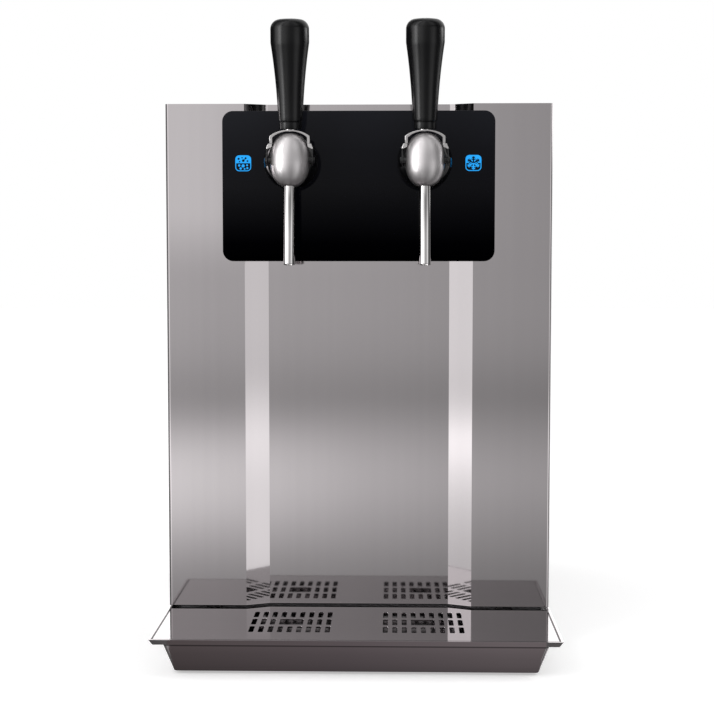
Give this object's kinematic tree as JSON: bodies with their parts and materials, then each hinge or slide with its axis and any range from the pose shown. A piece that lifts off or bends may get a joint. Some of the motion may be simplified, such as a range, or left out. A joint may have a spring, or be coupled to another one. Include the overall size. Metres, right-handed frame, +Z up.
{
  "type": "countertop water dispenser",
  "caption": "Countertop dispenser for chilled and sparkling water: steel housing, lever taps on a black glass panel, slotted drip tray.",
  "frame": {"origin": "on the table, under the middle of the whole object", "axes": "+Z up, -Y towards the person at the taps, +X to that person's right"},
  "size_m": [0.3914, 0.574, 0.6292],
  "materials": {
    "front_steel": "fine vertical brushing",
    "case_steel": "fine brushing",
    "zinc_sheet": "plain zinc-coated sheet",
    "rubber": "matt",
    "screw_steel": "zinc plated",
    "black_glass": "back-painted black glass, polished",
    "black_moulding": "moulded",
    "lamp_board": "lit blue lamps on a board",
    "chrome": "polished",
    "satin_nose": "satin",
    "black_handle": "satin black moulding",
    "tray_steel": "brushed",
    "grate_steel": "brushed along its length",
    "compressor_paint": "black enamel",
    "fin_aluminium": "bare fins",
    "copper": "copper tube",
    "foam_shell": "insulated white moulding",
    "motor_can": "grey enamel",
    "rotor_plastic": "moulded",
    "vessel_steel": "spun steel",
    "pump_brass": "cast",
    "board_green": "solder-masked board",
    "soft_tube": "translucent hose",
    "fitting_brass": "nickel-free brass"
  },
  "bodies": {
    "housing": {"front_panel": "front_steel", "side_panel_left": "case_steel", "side_panel_right": "case_steel", "top_cover": "case_steel", "rear_panel": "case_steel", "base_pan": "zinc_sheet", "housing_feet": "rubber", "bay_frame": "zinc_sheet", "deck": "zinc_sheet", "case_screws": "screw_steel", "glass_panel": "black_glass", "panel_carrier": "black_moulding", "icon_lights": "lamp_board", "compressor": "compressor_paint", "compressor_grommets": "rubber", "condenser": "fin_aluminium", "fan_shroud": "black_moulding", "fan_motor": "motor_can", "ice_tank": "foam_shell", "tank_lid": "foam_shell", "evaporator_coil": "copper", "carbonator": "vessel_steel", "stirrer_motor": "motor_can", "water_pump": "pump_brass", "control_board": "board_green", "water_tubes": "soft_tube", "refrigerant_line": "copper", "water_inlet": "fitting_brass", "drain_spigot": "black_moulding", "gas_inlet": "fitting_brass", "thermostat": "black_moulding", "power_inlet": "black_moulding", "tap_ball_left": "chrome", "tap_nose_left": "satin_nose", "tap_spout_left": "chrome", "pivot_screws_left": "screw_steel", "shank_nut_left": "fitting_brass", "tap_ball_right": "chrome", "tap_nose_right": "satin_nose", "tap_spout_right": "chrome", "pivot_screws_right": "screw_steel", "shank_nut_right": "fitting_brass"},
    "tray": {"drip_tray": "tray_steel", "tray_pads": "rubber"},
    "grate": {"drip_grate": "grate_steel"},
    "fan_wheel": {"fan_rotor": "rotor_plastic"},
    "stirrer": {"stirrer_shaft": "vessel_steel"},
    "knob": {"thermostat_knob": "black_moulding"},
    "rocker": {"switch_rocker": "black_moulding"},
    "lever_left": {"tap_yoke_left": "chrome", "lever_collar_left": "black_moulding", "tap_handle_left": "black_handle", "handle_stud_left": "screw_steel"},
    "plunger_left": {"tap_plunger_left": "black_moulding"},
    "lever_right": {"tap_yoke_right": "chrome", "lever_collar_right": "black_moulding", "tap_handle_right": "black_handle", "handle_stud_right": "screw_steel"},
    "plunger_right": {"tap_plunger_right": "black_moulding"}
  },
  "joints": [
    {"name": "lever_left_pull", "type": "hinge", "parent": "housing", "child": "lever_left", "pos_m": [-0.0658, -0.2078, 0.4915], "axis": [1, 0, 0], "range_deg": [0, 35]},
    {"name": "plunger_left_slide", "type": "slide", "parent": "housing", "child": "plunger_left", "axis": [0, 1, 0], "range_m": [0, 0.003]},
    {"name": "lever_right_pull", "type": "hinge", "parent": "housing", "child": "lever_right", "pos_m": [0.0658, -0.2078, 0.4915], "axis": [1, 0, 0], "range_deg": [0, 35]},
    {"name": "plunger_right_slide", "type": "slide", "parent": "housing", "child": "plunger_right", "axis": [0, 1, 0], "range_m": [0, 0.003]},
    {"name": "tray_slide", "type": "slide", "parent": "housing", "child": "tray", "axis": [0, -1, 0], "range_m": [0, 0.16]},
    {"name": "grate_lift", "type": "slide", "parent": "tray", "child": "grate", "axis": [0, 0, 1], "range_m": [0, 0.08]},
    {"name": "fan_spin", "type": "hinge", "parent": "housing", "child": "fan_wheel", "pos_m": [0.1, 0.19, 0.094], "axis": [0, 1, 0], "continuous": true},
    {"name": "stirrer_spin", "type": "hinge", "parent": "housing", "child": "stirrer", "pos_m": [-0.105, -0.04, 0.4], "axis": [0, 0, 1], "continuous": true},
    {"name": "knob_turn", "type": "hinge", "parent": "housing", "child": "knob", "pos_m": [-0.15, 0.2702, 0.17], "axis": [0, 1, 0], "range_deg": [-135, 135]},
    {"name": "switch_rock", "type": "hinge", "parent": "housing", "child": "rocker", "pos_m": [-0.15, 0.2612, 0.092], "axis": [1, 0, 0], "range_deg": [0, 16]}
  ],
  "couplings": [
    {"joint": "plunger_left_slide", "follows": "lever_left_pull", "m_per_rad": 0.0049062},
    {"joint": "plunger_right_slide", "follows": "lever_right_pull", "m_per_rad": 0.0049062}
  ]
}
